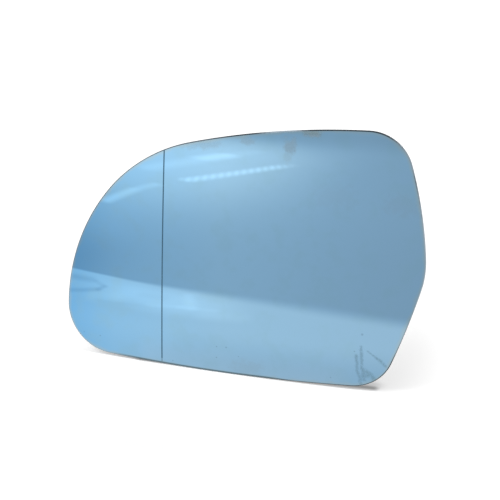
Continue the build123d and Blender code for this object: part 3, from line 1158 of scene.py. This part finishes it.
# Painted shade and light: beneath the glass the table's glow is taken away so it is dark, and just in front
# of it extra glow keeps it white; start, end and reach of both strips
SHADE_UNDER_GLASS = ((-55, -4), (64, -2.5), 8.5)
LIGHT_BEFORE_GLASS = ((-80, -40), (60, -40), 70)
FLOOR_GLOW_LIFT = 0.42
LIFT_FROM_EDGE = (-11.5, -13)
# Painted light: inboard of the glass extra glow soon fades the shadow out
SHADOW_FADE = 0.13
SHADOW_FADE_X = (72, 104)
# Painted shadow: where glass and table nearly touch, hardly any light gets in, so the table's colour is
# darkened there
CONTACT_SHADOW_STRIP = ((-58, -9), (65, -6.5), 4.5)
CONTACT_SHADOW_GREY = (0.3, 0.3, 0.3, 1)


def flat_sheet(name, low_x, low_y, high_x, high_y, z, finish):
    """A flat rectangle of the stage, in millimetres."""
    corners = [(low_x, low_y), (high_x, low_y), (high_x, high_y), (low_x, high_y)]
    mesh = bpy.data.meshes.new(name)
    mesh.from_pydata([Vector((x, y, z)) * MM for x, y in corners], [], [(0, 1, 2, 3)])
    mesh.materials.append(finish)
    sheet = new_object(name, mesh)
    return sheet


def seen_rays(tree):
    """1 for rays from the camera or from a reflection or refraction, else 0."""
    rays = add_node(tree, "ShaderNodeLightPath").outputs
    kinds = ("Is Camera Ray", "Is Glossy Ray", "Is Transmission Ray")
    return join([Wire(rays[kind]) for kind in kinds])


def table_white(position):
    """White table top that keeps its shadows, with painted shade beneath the glass and where the glass nearly
    touches, and painted light just in front of it and inboard.
    """
    x, y, _ = parts_of(position)
    shade_under, _ = stroke(x, y, *SHADE_UNDER_GLASS)
    before, _ = stroke(x, y, *LIGHT_BEFORE_GLASS)
    contact_shadow, _ = stroke(x, y, *CONTACT_SHADOW_STRIP)
    far = distance(x, y).ramp(*FLOOR_GLOW_RANGE)
    from_edge = y - x * x / (2 * MAIN_RADIUS)
    lift = before * from_edge.ramp(*LIFT_FROM_EDGE) * FLOOR_GLOW_LIFT + x.ramp(*SHADOW_FADE_X) * SHADOW_FADE
    glow = (FLOOR_GLOW_NEAR + far * (FLOOR_GLOW_FAR - FLOOR_GLOW_NEAR) + lift) * (1 - shade_under)
    return {
        "Base Color": mix_colours(contact_shadow, FLOOR_WHITE, CONTACT_SHADOW_GREY),
        "Roughness": FLOOR_ROUGHNESS,
        "Specular IOR Level": 0,
        "Emission Color": WHITE_LIGHT,
        "Emission Strength": seen_rays(x.tree) * glow,
    }


half = FLOOR_SIZE / 2
flat_sheet("table", -half, -half, half, half, FLOOR_Z, new_finish("table_white", table_white))

# %% [markdown]
# What a mirror shows is its surroundings: the white table nearby, a greyer room beyond it and some lamps.
# One card, seen only by reflections, lies on the table in front of the glass and carries that room.
# A furnished room would do the same with far more parts, and only its soft light matters here.
# The card's brightness is a sum of a few soft ramps and strokes, in millimetres on the table.

# %% Light of the room and the table
ROOM_GREY = 0.755
# Light that the room gains or loses along x and y: the light, then the ramps that bring it in
ROOM_STEPS = [
    (0.42, ("x", 10, -230), ("y", -110, -560), ("y", -880, -640)),
    (0.04, ("y", -150, -450)),
    (-0.11, ("y", -740, -980)),
    (-0.05, ("x", -60, 90)),
    (-0.09, ("x", -110, -190), ("y", -220, -130)),
]
# A row of small lamps: start, end and half width, its light, and the waves that part it into dots
LAMP_STRIP = ((-192.5, -449), (-108, -620), 19)
LAMP_STRIP_LIGHT = 0.41
LAMP_STRIP_FADE = (1.1, 0.8)
DOT_WAVE = 0.62
DOT_SKEW = -0.303
DOT_DEPTH = 0.2
# Soft streaks of light in the room: start, end, half width and light
LAMP_GLOWS = [
    ((-244.5, -295), (-231.5, -358), 18, 0.25),
    ((-226, -374), (-217, -400), 16, 0.15),
    ((-260, -482), (-205, -636), 32, 0.12),
    ((-223, -596), (-207.5, -631), 31, 0.2),
    ((-196, -655), (-178, -696), 26, 0.06),
]
# The table is darker near the glass, most of all inboard
TABLE_STEPS = [
    (-0.01, ("y", -65, -20)),
    (-0.12, ("y", -65, -20), ("x", -90, 0)),
]
# One patch of the table is brighter
PATCH_MIDDLE = (-76, -94)
PATCH_REACH = (66, 30)
PATCH_BORDER = (1, 0.1)
PATCH_LIGHT = 0.2
# Ripples of the sheet on the table, bright above 0 and dark below
TABLE_RIPPLES = [
    ((-138, -100), (-110, -102), 28, 0.07),
    ((-128, -76), (-112, -82), 15, 0.08),
    ((-164, -92), (-147, -97.5), 9.5, -0.12),
    ((-94, -96), (-80, -97), 9, -0.05),
    ((-112, -46), (-64, -48), 34, 0.04),
    ((-44, -81), (-24, -84), 12, 0.05),
    ((-141, -98), (-129, -94), 5, -0.08),
    ((-129, -94), (-131, -86.5), 5, -0.08),
    ((-131, -86.5), (-152, -70), 6.5, -0.11),
    ((-121, -71), (-85, -80), 5, -0.03),
    ((-84, -82), (-64, -87), 5, 0.05),
    ((-64, -87), (-42, -90), 5, 0.05),
    ((-66, -107), (-57, -88), 7, 0.09),
]


def soft_steps(x, y, steps):
    """Sum of lights that each come in along one or more ramps."""
    total = 0
    for light, *ramps in steps:
        for axis, zero_at, one_at in ramps:
            light = {"x": x, "y": y}[axis].ramp(zero_at, one_at) * light
        total = light + total
    return total


def soft_strokes(x, y, strokes):
    """Sum of several soft strokes of light, or of shade where the light is below 0."""
    total = 0
    for *shape, light in strokes:
        total = stroke(x, y, *shape)[0] * light + total
    return total


def room_light(x, y):
    """The room beyond the table: grey, brighter towards the left, with its lamps."""
    strip, along = stroke(x, y, *LAMP_STRIP)
    dots = ((x + y * DOT_SKEW) * DOT_WAVE).sine() * DOT_DEPTH + (1 - DOT_DEPTH)
    row = strip * dots * along.ramp(*LAMP_STRIP_FADE) * LAMP_STRIP_LIGHT
    return ROOM_GREY + soft_steps(x, y, ROOM_STEPS) + row + soft_strokes(x, y, LAMP_GLOWS)


def table_light(x, y):
    """The table this side of its edge: brightest near the edge, a little darker near the glass."""
    across = (x - PATCH_MIDDLE[0]) / PATCH_REACH[0]
    up = (y - PATCH_MIDDLE[1]) / PATCH_REACH[1]
    patch = distance(across, up).ramp(*PATCH_BORDER) * PATCH_LIGHT
    return 1 + patch + soft_steps(x, y, TABLE_STEPS) + soft_strokes(x, y, TABLE_RIPPLES)


# %% The card that the mirror faces
TABLE_EDGE_Y = -116.6
TABLE_EDGE_BOW = 6.3e-4
TABLE_EDGE_MIDDLE_X = -72
TABLE_EDGE_CRISP = 2.5
TABLE_EDGE_SOFT = 13
TABLE_EDGE_SOFTENS_X = (-140, 40)
# Outboard the edge bends: where the bend starts, its run and its rise over that run
TABLE_BEND_X = -120
TABLE_BEND_RUN = 50
TABLE_BEND_RISE = 5
# The darker the light, the bluer it is
ROOM_BLUE = (0.86, 0.935, 1, 1)
ROOM_BLUE_RANGE = (0.72, 1.08)
CARD_BLACK = (0, 0, 0, 1)
CARD_NEAR_Y = -10
CARD_FAR_Y = -2500
CARD_HALF_WIDTH = 2000
CARD_LIFT = 0.2


def room_and_table(position):
    """Emission of the card: table, soft table edge, room and lamps."""
    x, y, _ = parts_of(position)
    bowed = x - TABLE_EDGE_MIDDLE_X
    bend = (TABLE_BEND_X - x).at_least(0) / TABLE_BEND_RUN
    edge_y = bowed * bowed * TABLE_EDGE_BOW + bend * bend * TABLE_BEND_RISE + TABLE_EDGE_Y
    softness = TABLE_EDGE_CRISP + x.ramp(*TABLE_EDGE_SOFTENS_X) * (TABLE_EDGE_SOFT - TABLE_EDGE_CRISP)
    beyond = ((edge_y - y) / softness).ramp(-1, 1)
    light = table_light(x, y) * (1 - beyond) + room_light(x, y) * beyond
    return {
        "Base Color": CARD_BLACK,
        "Specular IOR Level": 0,
        "Emission Color": mix_colours(light.ramp(*ROOM_BLUE_RANGE), ROOM_BLUE, WHITE_LIGHT),
        "Emission Strength": light,
    }


card_corners = (-CARD_HALF_WIDTH, CARD_FAR_Y, CARD_HALF_WIDTH, CARD_NEAR_Y)
card_finish = new_finish("room_card", room_and_table)
card = flat_sheet("room_card", *card_corners, FLOOR_Z + CARD_LIFT, card_finish)
card.visible_camera = False
card.visible_diffuse = False
card.visible_shadow = False
card.visible_transmission = False

# %% [markdown]
# Two large soft lamps and a white surround light the part at a plain level.
# The main lamp stands front left and high, so the soft shadow falls to the right, behind the glass.

# %% Lamps and surround
# Place, size and power of each lamp
LAMPS = {
    "key_lamp": (Vector((-520, -520, 640)), 420, 3),
    "fill_lamp": (Vector((420, 620, 520)), 600, 2.5),
}
for name, (place, size, power) in LAMPS.items():
    light = bpy.data.lights.new(name, "AREA")
    light.size = size * MM
    light.energy = power
    lamp = new_object(name, light)
    lamp.location = place * MM
    lamp.rotation_euler = (-place).to_track_quat("-Z", "Y").to_euler()

# The surround is white for every ray that is seen, and a plain level of light for the rest
SURROUND_LIGHT = 0.72
world = bpy.data.worlds.new("white_surround")
world.use_nodes = True
strength = seen_rays(world.node_tree) * (1 - SURROUND_LIGHT) + SURROUND_LIGHT
set_inputs(world.node_tree.nodes["Background"], {"Color": WHITE_LIGHT, "Strength": strength})
bpy.context.scene.world = world
bpy.context.scene.view_settings.view_transform = "Standard"
print("lamps:", ", ".join(LAMPS))
